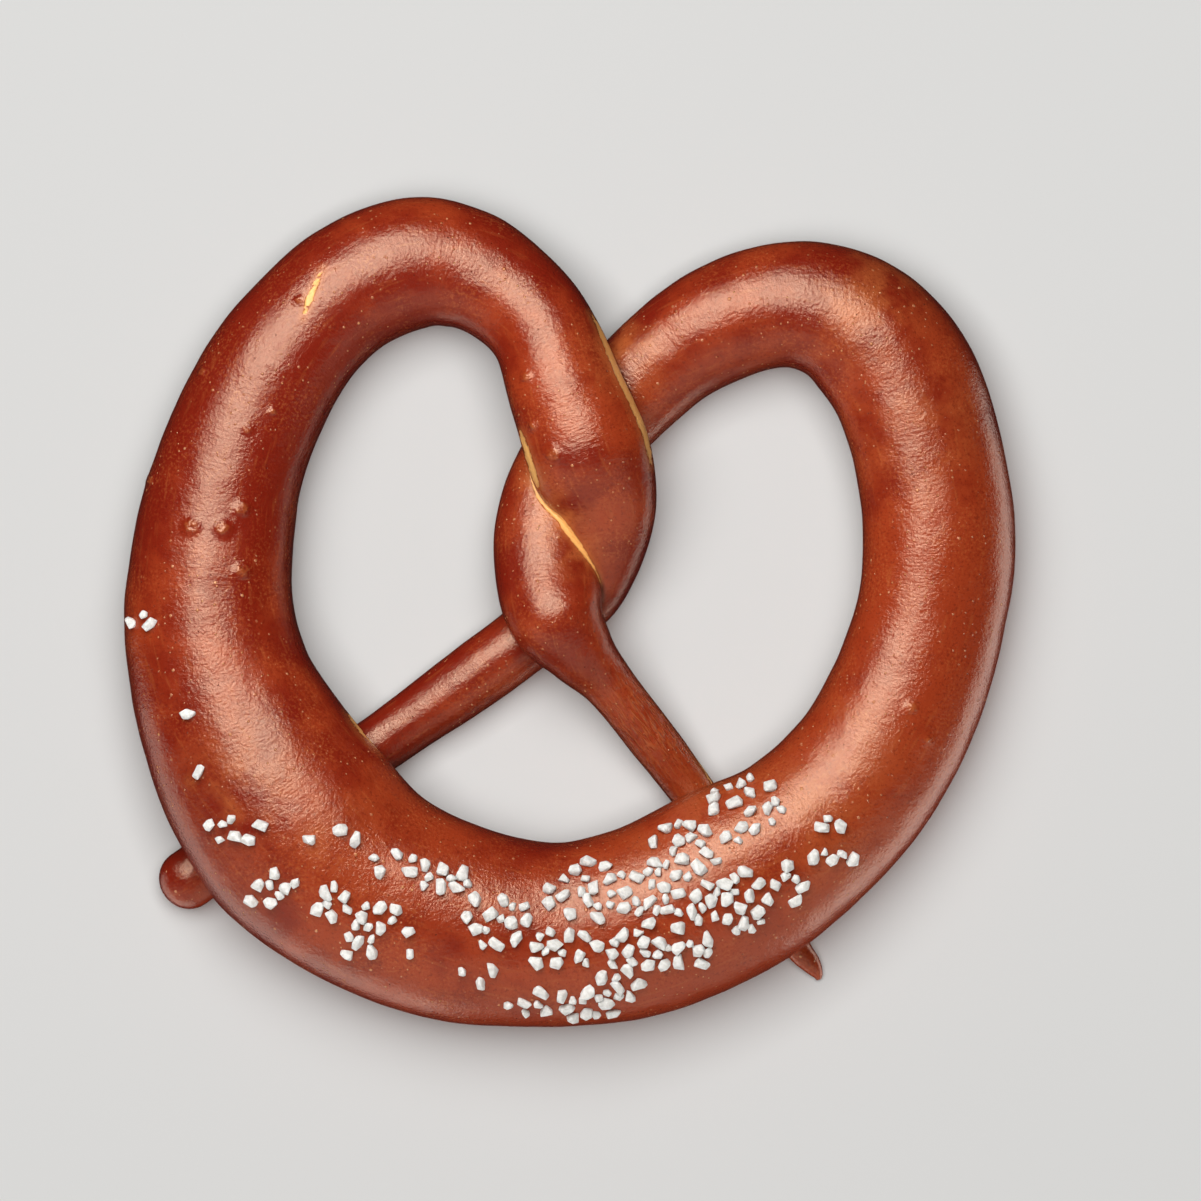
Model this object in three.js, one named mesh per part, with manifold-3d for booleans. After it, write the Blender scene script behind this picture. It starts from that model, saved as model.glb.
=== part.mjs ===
// A Bavarian-style soft pretzel, lying on its flat baked side with the salted side up.
//
// One rope of dough makes the whole pretzel. It starts at a rounded tip under the left of the
// thick belly, comes out as the left arm, winds once round the other arm, and goes round the
// left lobe, the belly and the right lobe. It ends in a thin pointed tip under the belly's right.
// Coarse salt grains are baked onto the front of the belly.
//
// Units are millimetres. +Z is up and +Y points from the belly to the lobes. The origin is on
// the surface that the pretzel rests on, under the middle of its outline.

import * as THREE from 'three';
import { mergeVertices } from 'three/addons/utils/BufferGeometryUtils.js';
import Module from 'manifold-3d';

// The rope's stations, in order along the rope: [x, y, width, height, base].
// x and y are the rope's centre seen from above, and base is how high its underside lies.
const LEFT_ARM = [
  [-68.2, -48.0, 10.3, 7.8, 0],
  [-48.0, -33.6, 9.8, 8.0, 0],
  [-28.6, -20.0, 10.2, 8.6, 0],
  [-16.7, -11.5, 11.0, 9.4, 0],
  [-5.8, -3.4, 11.8, 10.2, 0],
];
// The left strand comes up from below the right one, and then lies across it.
const TWIST_LEFT = [
  [2.7, 4.4, 13.9, 11.6, 1.0],
  [5.7, 15.4, 17.2, 14.2, 4.8],
  [3.5, 25.8, 20.9, 15.8, 8.4],
  [-0.3, 36.3, 19.6, 15.2, 8.2],
  [-4.1, 46.5, 18.1, 15.2, 5.4],
];
const LEFT_LOBE = [
  [-9.6, 53.0, 18.4, 15.6, 2.4],
  [-17.1, 57.6, 20.3, 16.6, 0.6],
  [-26.0, 58.6, 22.0, 17.4, 0],
  [-36.7, 54.4, 22.3, 17.8, 0],
  [-45.8, 45.8, 22.6, 18.2, 0],
  [-52.7, 35.3, 24.0, 19.2, 0],
  [-57.9, 21.3, 25.5, 20.2, 0],
];
const BELLY = [
  [-60.6, 3.6, 28.0, 21.8, 0],
  [-58.8, -10.6, 30.7, 23.4, 0],
  [-53.4, -23.7, 34.5, 25.6, 0],
  [-45.5, -36.0, 37.3, 27.0, 0],
  [-34.1, -46.1, 35.1, 26.4, 0],
  [-19.3, -52.2, 33.4, 25.6, 0],
  [-3.2, -54.4, 31.1, 24.8, 0],
  [12.0, -52.2, 31.8, 24.8, 0],
  [26.9, -45.4, 32.4, 24.8, 0],
  [39.2, -37.7, 29.4, 23.6, 0],
  [49.2, -27.5, 27.4, 22.2, 0],
  [56.3, -14.9, 26.4, 21.4, 0],
  [60.8, -0.7, 25.2, 20.4, 0],
];
const RIGHT_LOBE = [
  [62.3, 12.8, 25.7, 20.2, 0],
  [60.5, 26.2, 25.2, 19.8, 0],
  [56.6, 38.0, 25.3, 19.2, 0],
  [50.5, 46.3, 24.5, 18.6, 0],
  [43.2, 50.7, 22.3, 17.8, 0],
  [34.8, 51.5, 20.9, 17.0, 0],
  [24.7, 48.1, 19.8, 16.0, 0],
  [15.4, 41.7, 18.1, 14.2, 0],
];
// The right strand goes under the left one, and then comes up and lies across it.
const TWIST_RIGHT = [
  [5.2, 31.4, 17.6, 12.6, 0],
  [-1.5, 21.3, 17.6, 13.6, 0.4],
  [-3.7, 9.5, 17.9, 14.4, 3.0],
  [-2.2, -0.2, 16.7, 13.8, 7.0],
  [2.0, -6.9, 12.2, 11.4, 7.0],
];
const RIGHT_ARM = [
  [6.9, -12.5, 9.0, 8.6, 5.6],
  [13.7, -21.1, 8.3, 7.8, 2.6],
  [20.8, -30.4, 7.6, 7.0, 0.5],
  [28.1, -40.7, 7.1, 6.4, 0],
  [35.7, -52.0, 5.9, 5.0, 0],
  [38.7, -57.0, 4.4, 3.8, 0],
  [40.7, -59.4, 3.5, 3.0, 0],
  [41.9, -61.2, 2.0, 2.0, 0],
  [42.2, -62.2, 0.8, 1.0, 0],
];
const STATIONS = [
  ...LEFT_ARM, ...TWIST_LEFT, ...LEFT_LOBE, ...BELLY, ...RIGHT_LOBE, ...TWIST_RIGHT, ...RIGHT_ARM,
];

// The rope's cross-section.
const SIDES = 20; // corners round the rope
const RING_STEP = 6; // from one ring of corners to the next
const WIDEST_AT = 0.44; // height of the widest place, as a share of the rope's height
const SINK = 1.25; // how far the round underside would reach below the tray that flattens it

// Where the rope is divided: the arms cross each other and go under the belly, so each arm up to
// the top of its lobe is a solid of its own until the three are joined.
const LEFT_LOBE_TOP = 0.262; // share of the rope's length
const RIGHT_LOBE_TOP = 0.742;
const TIP_RADIUS = 4.9; // the left arm's rounded end
const CAP_RINGS = 3; // rings that round an end off

// Coarse salt, in elliptical patches on the belly: [x, y, x radius, y radius, grains].
const SALT = [
  [-71.0, -1.6, 2.4, 2.0, 2],
  [-63.5, -17.1, 0.4, 0.4, 1],
  [-61.8, -26.5, 0.4, 0.4, 1],
  [-55.7, -36.8, 5.6, 2.4, 4],
  [-40.4, -37.5, 6.8, 2.0, 3],
  [-50.0, -46.2, 4.6, 3.0, 5],
  [-39.6, -48.8, 3.2, 3.0, 4],
  [-32.6, -50.8, 4.6, 2.2, 4],
  [-35.0, -55.6, 2.8, 2.4, 3],
  [-26.6, -55.4, 1.0, 2.2, 1],
  [-29.4, -42.6, 5.4, 1.9, 4],
  [-20.9, -44.8, 4.2, 2.2, 4],
  [-12.6, -51.6, 6.0, 4.4, 9],
  [-14.6, -60.6, 3.6, 1.8, 2],
  [3.2, -47.0, 7.6, 4.8, 13],
  [-0.6, -56.6, 7.4, 3.2, 8],
  [-0.8, -65.8, 10.2, 2.4, 10],
  [8.2, -62.2, 4.6, 2.4, 5],
  [16.2, -47.2, 8.4, 6.0, 18],
  [14.8, -56.6, 10.0, 3.6, 13],
  [20.8, -39.0, 6.8, 3.8, 8],
  [29.6, -33.2, 6.0, 5.4, 10],
  [28.4, -48.4, 5.8, 5.0, 11],
  [36.6, -44.6, 3.2, 4.6, 4],
  [43.8, -41.2, 4.0, 1.1, 3],
  [43.6, -36.2, 2.2, 2.8, 2],
];
const GRAIN_GAP = 2.5; // least distance between the middles of two grains
const GRAIN_TRIES = 60;
const GRAIN_LENGTH = [2.5, 3.3];
const GRAIN_WIDTH = [1.8, 2.3];
const GRAIN_HEIGHT = [1.6, 2.1];
const GRAIN_ROUGHNESS = 0.16; // how far a grain's corners lie in or out, as a share
const GRAIN_PROUD = 0.22; // how far a grain's middle stands above the crust, as a share of its height
const STEEPEST_SALT = 0.93; // salt lies no further out than this share of the half width

const CRUST_COLOUR = 0x8a3a1e;

// Draws numbers from 0 to 1 that are the same on each run.
function seededRandom(seed) {
  let state = seed;
  return () => {
    state = (Math.imul(state, 1664525) + 1013904223) >>> 0;
    return state / 2 ** 32;
  };
}

// The rope as two curves through the stations: its centre, and its size with the base.
const centre = new THREE.CatmullRomCurve3(
  STATIONS.map(([x, y]) => new THREE.Vector3(x, y, 0)), false, 'catmullrom', 0.5);
const width = new THREE.CatmullRomCurve3(
  STATIONS.map(([, , w, h, base]) => new THREE.Vector3(w, h, base)), false, 'catmullrom', 0.5);
centre.arcLengthDivisions = 40 * STATIONS.length;
const ropeLength = centre.getLength();

// The rope's place, direction and size at a share of its length.
function ropeAt(share) {
  const t = centre.getUtoTmapping(share);
  const size = width.getPoint(t);
  const along = centre.getTangent(t);
  return {
    middle: centre.getPoint(t),
    side: new THREE.Vector3(-along.y, along.x, 0),
    wide: size.x,
    high: size.y,
    base: Math.max(size.z, 0),
  };
}

// A point on the rope's cross-section. sideways and up are the two parts of a direction from the
// section's middle, and shrink draws the section in at a rounded end.
function sectionPoint(rope, sideways, up, shrink) {
  const waist = rope.high * WIDEST_AT;
  const reach = up > 0 ? rope.high - waist : waist * SINK;
  const z = rope.base + waist + reach * up * shrink;
  return rope.middle.clone()
    .addScaledVector(rope.side, sideways * shrink * rope.wide / 2)
    .setZ(Math.max(z, 0));
}

// The rings from one share of the length to another, with the start rounded off where it is a tip.
function ringsBetween(from, to, startRadius) {
  const rings = [];
  for (let k = 1; k <= CAP_RINGS && startRadius > 0; k++) {
    const turn = k / (CAP_RINGS + 1) * Math.PI / 2;
    rings.push({ share: from + startRadius * (1 - Math.cos(turn)) / ropeLength, shrink: Math.sin(turn) });
  }
  const first = from + startRadius / ropeLength;
  const steps = Math.round((to - first) * ropeLength / RING_STEP);
  for (let k = 0; k <= steps; k++) {
    rings.push({ share: first + (to - first) * k / steps, shrink: 1 });
  }
  return rings;
}

// A stretch of rope: a capped cylinder with a row of vertices for each ring, bent along the rope.
function ropeSolid(wasm, rings) {
  const rows = rings.length - 1;
  const cylinder = new THREE.CylinderGeometry(1, 1, 1, SIDES, rows);
  const position = cylinder.attributes.position;
  const sections = rings.map(({ share }) => ropeAt(share));
  for (let i = 0; i < position.count; i++) {
    const row = Math.round((0.5 - position.getY(i)) * rows);
    const point = sectionPoint(sections[row], position.getX(i), position.getZ(i), rings[row].shrink);
    position.setXYZ(i, point.x, point.y, point.z);
  }
  return toSolid(wasm, cylinder);
}

// The crust above a point of the plan, on the stretch of rope between the lobes' tops.
function crustAbove(samples, x, y) {
  const nearest = samples.reduce((best, rope) => {
    const distance = Math.hypot(rope.middle.x - x, rope.middle.y - y);
    return distance < best.distance ? { distance, rope } : best;
  }, { distance: Infinity });
  const { rope } = nearest;
  const offset = (x - rope.middle.x) * rope.side.x + (y - rope.middle.y) * rope.side.y;
  const out = offset / (rope.wide / 2);
  if (Math.abs(out) > STEEPEST_SALT) {
    return null;
  }
  const waist = rope.high * WIDEST_AT;
  const dome = rope.high - waist;
  const level = Math.sqrt(1 - out * out);
  const normal = rope.side.clone().multiplyScalar(dome * out).setZ(level * rope.wide / 2).normalize();
  return { point: new THREE.Vector3(x, y, rope.base + waist + dome * level), normal };
}

// The places of all the grains, patch by patch.
function saltPlaces(random, samples) {
  const places = [];
  for (const [x, y, radiusX, radiusY, count] of SALT) {
    for (let grain = 0; grain < count; grain++) {
      for (let attempt = 0; attempt < GRAIN_TRIES; attempt++) {
        const radius = Math.sqrt(random());
        const turn = random() * 2 * Math.PI;
        const crust = crustAbove(
          samples, x + radiusX * radius * Math.cos(turn), y + radiusY * radius * Math.sin(turn));
        const free = crust && places.every((other) => other.point.distanceTo(crust.point) > GRAIN_GAP);
        if (free) {
          places.push(crust);
          break;
        }
      }
    }
  }
  return places;
}

// One grain: a small uneven block with its lower half in the crust.
function grainSolid(wasm, random, { point, normal }) {
  const between = ([low, high]) => low + (high - low) * random();
  const size = new THREE.Vector3(between(GRAIN_LENGTH), between(GRAIN_WIDTH), between(GRAIN_HEIGHT));
  const heading = random() * Math.PI;
  const block = new THREE.IcosahedronGeometry(0.5, 0);
  block.deleteAttribute('normal');
  block.deleteAttribute('uv');
  const grain = mergeVertices(block);
  const corner = new THREE.Vector3();
  for (let i = 0; i < grain.attributes.position.count; i++) {
    corner.fromBufferAttribute(grain.attributes.position, i);
    corner.multiplyScalar(1 + GRAIN_ROUGHNESS * (2 * random() - 1)).multiply(size);
    grain.attributes.position.setXYZ(i, corner.x, corner.y, corner.z);
  }
  grain.applyMatrix4(new THREE.Matrix4().makeRotationZ(heading));
  const upright = new THREE.Quaternion().setFromUnitVectors(new THREE.Vector3(0, 0, 1), normal);
  grain.applyQuaternion(upright);
  const middle = point.clone().addScaledVector(normal, GRAIN_PROUD * size.z);
  grain.translate(middle.x, middle.y, middle.z);
  return toSolid(wasm, grain);
}

// A closed three.js geometry as a solid that can be joined to others.
function toSolid(wasm, geometry) {
  geometry.deleteAttribute('normal');
  geometry.deleteAttribute('uv');
  const merged = mergeVertices(geometry, 1e-5);
  return new wasm.Manifold(new wasm.Mesh({
    numProp: 3,
    vertProperties: new Float32Array(merged.attributes.position.array),
    triVerts: new Uint32Array(merged.index.array),
  }));
}

// A joined solid as a three.js geometry.
function toGeometry(solid) {
  const { vertProperties, triVerts } = solid.getMesh();
  const geometry = new THREE.BufferGeometry();
  geometry.setAttribute('position', new THREE.BufferAttribute(new Float32Array(vertProperties), 3));
  geometry.setIndex(new THREE.BufferAttribute(new Uint32Array(triVerts), 1));
  return geometry;
}

// The dough: both arms and the belly between them, joined where they cross and touch.
function doughSolid(wasm) {
  const leftArm = ropeSolid(wasm, ringsBetween(0, LEFT_LOBE_TOP, TIP_RADIUS));
  const belly = ropeSolid(wasm, ringsBetween(LEFT_LOBE_TOP, RIGHT_LOBE_TOP, 0));
  const rightArm = ropeSolid(wasm, ringsBetween(RIGHT_LOBE_TOP, 1, 0));
  return belly.add(leftArm).add(rightArm);
}

function buildPretzel(wasm) {
  const random = seededRandom(7);
  const samples = [];
  for (let share = LEFT_LOBE_TOP; share <= RIGHT_LOBE_TOP; share += 0.5 / ropeLength) {
    samples.push(ropeAt(share));
  }
  let pretzel = doughSolid(wasm);
  for (const place of saltPlaces(random, samples)) {
    pretzel = pretzel.add(grainSolid(wasm, random, place));
  }
  const geometry = toGeometry(pretzel);
  geometry.computeBoundingBox();
  const { min, max } = geometry.boundingBox;
  geometry.translate(-(min.x + max.x) / 2, -(min.y + max.y) / 2, -min.z);
  geometry.computeVertexNormals();
  const crust = new THREE.MeshStandardMaterial({ color: CRUST_COLOUR, roughness: 0.4, metalness: 0 });
  const mesh = new THREE.Mesh(geometry, crust);
  mesh.name = 'pretzel';
  return mesh;
}

const wasm = await Module();
wasm.setup();

const group = new THREE.Group();
group.add(buildPretzel(wasm));

export default group;
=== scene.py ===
"""A soft pretzel lying on its flat baked side, with its salted side up, seen from above.

The dough is one rope. It is swept here from the same stations as the CAD solid, but finely, with
the lumps and blisters of real dough, and its strands are joined into one crust. Cracks, stretched
pale dough, specks and wrinkles are part of the crust's material. The coarse salt is a mesh of its
own, because it has another colour. Sizes are in millimetres until a mesh is made.
"""

import math

import bmesh
import bpy
import numpy as np
from mathutils import Matrix, Vector, kdtree, noise


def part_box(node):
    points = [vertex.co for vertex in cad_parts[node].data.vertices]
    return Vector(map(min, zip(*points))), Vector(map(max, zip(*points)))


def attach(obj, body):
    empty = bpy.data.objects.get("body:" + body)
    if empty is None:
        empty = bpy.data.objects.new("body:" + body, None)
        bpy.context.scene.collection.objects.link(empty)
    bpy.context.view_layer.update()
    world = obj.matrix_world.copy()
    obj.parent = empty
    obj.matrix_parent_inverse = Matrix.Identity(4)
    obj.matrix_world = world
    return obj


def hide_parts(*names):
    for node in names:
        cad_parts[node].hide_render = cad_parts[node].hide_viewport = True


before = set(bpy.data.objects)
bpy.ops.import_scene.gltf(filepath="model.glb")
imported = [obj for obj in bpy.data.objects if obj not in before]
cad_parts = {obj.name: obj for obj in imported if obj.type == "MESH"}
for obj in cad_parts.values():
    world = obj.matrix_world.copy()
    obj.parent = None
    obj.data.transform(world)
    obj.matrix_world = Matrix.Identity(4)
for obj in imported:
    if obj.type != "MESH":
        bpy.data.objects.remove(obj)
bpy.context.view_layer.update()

MM = 0.001

# The rope's stations: x, y, width, height, base, as in the CAD solid.
LEFT_ARM = [
    (-68.2, -48.0, 10.3, 7.8, 0),
    (-48.0, -33.6, 9.8, 8.0, 0),
    (-28.6, -20.0, 10.2, 8.6, 0),
    (-16.7, -11.5, 11.0, 9.4, 0),
    (-5.8, -3.4, 11.8, 10.2, 0),
]
TWIST_LEFT = [
    (2.7, 4.4, 13.9, 11.6, 1.0),
    (5.7, 15.4, 17.2, 14.2, 4.8),
    (3.5, 25.8, 20.9, 15.8, 8.4),
    (-0.3, 36.3, 19.6, 15.2, 8.2),
    (-4.1, 46.5, 18.1, 15.2, 5.4),
]
LEFT_LOBE = [
    (-9.6, 53.0, 18.4, 15.6, 2.4),
    (-17.1, 57.6, 20.3, 16.6, 0.6),
    (-26.0, 58.6, 22.0, 17.4, 0),
    (-36.7, 54.4, 22.3, 17.8, 0),
    (-45.8, 45.8, 22.6, 18.2, 0),
    (-52.7, 35.3, 24.0, 19.2, 0),
    (-57.9, 21.3, 25.5, 20.2, 0),
]
BELLY = [
    (-60.6, 3.6, 28.0, 21.8, 0),
    (-58.8, -10.6, 30.7, 23.4, 0),
    (-53.4, -23.7, 34.5, 25.6, 0),
    (-45.5, -36.0, 37.3, 27.0, 0),
    (-34.1, -46.1, 35.1, 26.4, 0),
    (-19.3, -52.2, 33.4, 25.6, 0),
    (-3.2, -54.4, 31.1, 24.8, 0),
    (12.0, -52.2, 31.8, 24.8, 0),
    (26.9, -45.4, 32.4, 24.8, 0),
    (39.2, -37.7, 29.4, 23.6, 0),
    (49.2, -27.5, 27.4, 22.2, 0),
    (56.3, -14.9, 26.4, 21.4, 0),
    (60.8, -0.7, 25.2, 20.4, 0),
]
RIGHT_LOBE = [
    (62.3, 12.8, 25.7, 20.2, 0),
    (60.5, 26.2, 25.2, 19.8, 0),
    (56.6, 38.0, 25.3, 19.2, 0),
    (50.5, 46.3, 24.5, 18.6, 0),
    (43.2, 50.7, 22.3, 17.8, 0),
    (34.8, 51.5, 20.9, 17.0, 0),
    (24.7, 48.1, 19.8, 16.0, 0),
    (15.4, 41.7, 18.1, 14.2, 0),
]
TWIST_RIGHT = [
    (5.2, 31.4, 17.6, 12.6, 0),
    (-1.5, 21.3, 17.6, 13.6, 0.4),
    (-3.7, 9.5, 17.9, 14.4, 3.0),
    (-2.2, -0.2, 16.7, 13.8, 7.0),
    (2.0, -6.9, 12.2, 11.4, 7.0),
]
RIGHT_ARM = [
    (6.9, -12.5, 9.0, 8.6, 5.6),
    (13.7, -21.1, 8.3, 7.8, 2.6),
    (20.8, -30.4, 7.6, 7.0, 0.5),
    (28.1, -40.7, 7.1, 6.4, 0),
    (35.7, -52.0, 5.9, 5.0, 0),
    (38.7, -57.0, 4.4, 3.8, 0),
    (40.7, -59.4, 3.5, 3.0, 0),
    (41.9, -61.2, 2.0, 2.0, 0),
    (42.2, -62.2, 0.8, 1.0, 0),
]
STATIONS = np.array(
    LEFT_ARM + TWIST_LEFT + LEFT_LOBE + BELLY + RIGHT_LOBE + TWIST_RIGHT + RIGHT_ARM, float)
WIDEST_AT = 0.44  # height of a section's widest place, as a share of its height
SINK = 1.25  # how far the round underside would reach below the tray that flattens it
LEFT_LOBE_TOP = 0.262  # shares of the rope's length where the strands are divided
RIGHT_LOBE_TOP = 0.742
TIP_RADIUS = 4.9

# The fine crust mesh.
STEPS_PER_STATION = 40  # for measuring the rope's length
RING_STEP = 0.62
SIDES = 84
TOP_CROWDING = 0.3  # how much closer together the corners are on top than below
TIP_RINGS = 9
TRAY_ROUNDING = 0.9  # how softly the side turns into the flat underside
TRAY_PRESS = 0.08  # how far the dough is pressed down on the tray
WELD_GAP = 0.004  # corners within this distance become one, in the crust and in a grain
WALL_GAP = 0.012  # faces this close to the plane where two strands meet are a wall inside the dough
CRUST_SHARP_ANGLE = math.radians(35)

# Lumps of the dough: size and height of each kind.
LUMPS = [(14.0, 0.30), (5.0, 0.09)]
LUMPS_FREE_AT = 4.0  # height above the tray where the lumps have their full height
LUMPS_FULL_WIDTH = 12.0  # width of rope from which they have it
BLISTER_ROUNDNESS = 0.7
ARMS_UNDER_BELLY = ((0, 0.10), (0.915, 1))  # shares of the rope's length
ARM_SAMPLES = 120
GROOVE_DEPTH = 1.5  # grooves in the underside, beside the arms that the belly lies on
GROOVE_WIDTH = 1.3
GROOVE_TOP = 3  # only the dough below this height is lifted by them
UNDERSIDE_START = 1.3  # the matte underside's strength on the tray
UNDERSIDE_FADE = 0.9  # and the height in which it fades by one
CREASE_SAMPLES = 5  # points on each edge of a crease
ARMS_BELOW = -8  # y below which only the arms and the belly meet
FARTHEST_CREASE = 10

# Where the skin has split or stretched, seen from above: points with a half width.
SPLITS = [
    # down between the strands, from the left edge of the crossing
    [(-9.8, 31.4, 0.10), (-9.0, 28.0, 0.40), (-7.4, 24.6, 0.46), (-5.4, 21.2, 0.50), (-3.4, 17.8, 0.50),
     (-0.8, 13.6, 0.74), (1.2, 10.2, 0.56), (3.2, 6.6, 0.12)],
]
SPLIT_REACH = 2.6  # a split follows the crease that lies within this distance of its points
FARTHEST_GAP = 4.0
OUT_OF_REACH = 20  # added to a distance where a split can't be
TOP_SIDE = 0.05  # splits are only where the crust faces up more than this
STREAKS = [  # each on one strand: 0 the left one, 1 the belly, 2 the right one
    # along the right edge of the strand that lies on top
    (0, [(3.6, 50.2, 0.05), (5.3, 47.0, 0.36), (7.4, 42.0, 0.50), (8.7, 39.0, 0.56), (10.2, 36.0, 0.58),
         (11.5, 33.0, 0.56), (12.7, 30.0, 0.48), (13.4, 27.0, 0.34), (13.9, 24.0, 0.05)]),
    # stretched pale dough on the left lobe
    (1, [(-41.2, 57.6, 0.05), (-42.4, 55.0, 0.40), (-43.6, 52.2, 0.55), (-44.6, 49.0, 0.05)]),
    # along the left edge of the same strand, down to the crossing
    (0, [(-8.2, 30.2, 0.04), (-7.8, 29.0, 0.30), (-7.2, 27.4, 0.40), (-6.5, 25.0, 0.44), (-5.6, 22.0, 0.44),
         (-5.0, 20.6, 0.10)]),
    # the belly's edge, where the left arm goes under it
    (1, [(-37.3, -16.6, 0.05), (-36.2, -18.0, 0.45), (-34.7, -19.8, 0.62), (-33.0, -21.8, 0.45),
         (-31.4, -23.7, 0.05)]),
    # a thin pale line down the right edge of the right arm, beside its torn skin
    (2, [(20.4, -22.8, 0.04), (22.4, -26.0, 0.20), (24.2, -29.4, 0.04)]),
]
TAN_PATCHES = [  # x, y, radius, strength
    (9.6, 43.0, 5.0, 0.8),
    (1.5, 9.5, 3.6, 0.9),
    (-1.5, 15.5, 4.2, 0.9),
    (-6.5, 22.0, 3.0, 0.6),
    (-54.0, -28.6, 8.0, 0.55),
    (-39.0, -37.0, 7.0, 0.35),
    (28.0, -34.0, 9.0, 0.5),
    (40.0, -34.0, 9.0, 0.45),
    (47.0, -24.0, 8.0, 0.4),
    (50.0, 52.0, 8.0, 0.6),
    (60.0, 30.0, 9.0, 0.35),
    (-63.0, -28.2, 1.2, 0.9),
    (12.0, -43.0, 6.0, 0.3),
]
TORN_SKIN = (14.0, -19.0, 9.0)  # x, y and radius of the torn skin on the right arm
LEATHERY_SKIN = (0.0, 33.0, 15.0)  # and of the wrinkled skin on the strand that lies on top
BLISTERS = [  # x, y, radius, height
    (-7.1, 39.3, 1.1, 0.34),
    (-6.1, 31.0, 0.9, 0.30),
    (-2.7, 26.3, 1.6, 0.26),
    (-54.8, 17.2, 1.6, 0.42),
    (-58.0, 14.0, 1.7, 0.40),
    (-63.2, 14.3, 1.7, 0.42),
    (-54.7, 6.8, 1.7, 0.34),
    (-61.6, 40.2, 0.9, 0.24),
    (-53.9, 30.6, 1.1, 0.20),
    (-49.6, 33.4, 0.8, 0.18),
    (-70.4, 22.0, 0.9, 0.16),
    (57.4, -16.2, 1.3, 0.20),
    (60.2, -21.6, 1.1, 0.20),
    (-45.2, 52.0, 1.0, 0.14),
]

# Coarse salt, in elliptical patches: x, y, x radius, y radius, large grains, small grains.
SALT = [
    (-71.0, -1.6, 2.4, 2.0, 2, 1),
    (-63.5, -17.1, 0.4, 0.4, 1, 0),
    (-61.8, -26.5, 0.4, 0.4, 1, 0),
    (-55.7, -36.8, 5.6, 2.4, 4, 3),
    (-40.4, -37.5, 6.8, 2.0, 3, 0),
    (-50.0, -46.2, 4.6, 3.0, 5, 3),
    (-39.6, -48.8, 3.2, 3.0, 4, 3),
    (-32.6, -50.8, 4.6, 2.2, 4, 4),
    (-35.0, -55.6, 2.8, 2.4, 3, 2),
    (-26.6, -55.4, 1.0, 2.2, 1, 1),
    (-29.4, -42.6, 5.4, 1.9, 4, 2),
    (-20.9, -44.8, 4.2, 2.2, 4, 4),
    (-12.6, -51.6, 6.0, 4.4, 9, 5),
    (-14.6, -60.6, 3.6, 1.8, 2, 1),
    (3.2, -47.0, 7.6, 4.8, 13, 7),
    (-0.6, -56.6, 7.4, 3.2, 8, 5),
    (-0.8, -65.8, 10.2, 2.4, 10, 7),
    (8.2, -62.2, 4.6, 2.4, 5, 3),
    (16.2, -47.2, 8.4, 6.0, 18, 12),
    (14.8, -56.6, 10.0, 3.6, 13, 9),
    (20.8, -39.0, 6.8, 3.8, 8, 5),
    (29.6, -33.2, 6.0, 5.4, 10, 7),
    (28.4, -48.4, 5.8, 5.0, 11, 7),
    (36.6, -44.6, 3.2, 4.6, 4, 2),
    (43.8, -41.2, 4.0, 1.1, 3, 2),
    (43.6, -36.2, 2.2, 2.8, 2, 1),
]
SALT_SAMPLE_STEP = 0.5
SALT_SEED = 7
SMALL_SALT_SEED = 11
LARGE_GAP = 2.5
SMALL_GAP = 1.7
GRAIN_TRIES = 60
LARGE_GRAIN = ((2.2, 3.0), (1.7, 2.2), (1.5, 2.0))
SMALL_GRAIN = ((1.4, 2.1), (1.2, 1.6), (1.1, 1.5))
CAD_GRAIN_CORNERS = 12
GRAIN_PROUD = 0.22  # how far a grain's middle stands out of the crust, as a share of its height
STEEPEST_SALT = 0.93  # how far out on the rope salt still lies, as a share of its half width
GRAIN_CORNERS = 13
GRAIN_TURN = 0.618  # part of a turn from one corner of a grain to the next
GRAIN_TURN_SPREAD = 0.25
GRAIN_REACH = 0.5  # from its middle to its corners, as a share of its size
GRAIN_REACH_SPREAD = 0.08
GRAIN_BOXINESS = 0.55  # 0 is an egg, 1 is a box
GRAIN_FLAT_ANGLE = math.radians(9)  # sides that turn less than this are one side
GRAIN_BEVEL = 0.13  # how far a grain's edges are worn off
GRAIN_SHARP_ANGLE = math.radians(60)

# The photograph's frame, measured at the height where the pretzel is widest.
FRAME_ACROSS = 201.9
FRAME_MIDDLE = (5.3, 1.8)
FRAME_LEVEL = 11.0
CAMERA_DISTANCE = 2500.0
SENSOR = 36.0

# Colours of the crust and the salt, as linear light.
DARK_BROWN = (0.110, 0.008, 0.003)
CHESTNUT = (0.190, 0.0108, 0.0034)
WARM_BROWN = (0.315, 0.0360, 0.0088)
TAN = (0.52, 0.150, 0.040)
PALE_DOUGH = (0.86, 0.44, 0.13)
SPECK = (0.64, 0.27, 0.11)
# painted shade, for the creases and the pits
CREASE_SHADE = (0.045, 0.007, 0.003)
BAKED_BASE = (0.27, 0.105, 0.042)
BASE_SPOT = (0.095, 0.030, 0.014)
SALT_WHITE = (0.80, 0.785, 0.75)
SALT_SHADE = (0.62, 0.60, 0.56)
FLOOR_GREY = (0.78, 0.775, 0.76)
FLOOR_SHADE = (0.74, 0.735, 0.72)
FLOOR_CLOUD_SIZE = 300
FLOOR_HALF = 3.0  # metres
SPECULAR_TINT = (1.0, 0.73, 0.52, 1)
SALT_SCATTER = (0.9, 0.85, 0.8)

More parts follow.
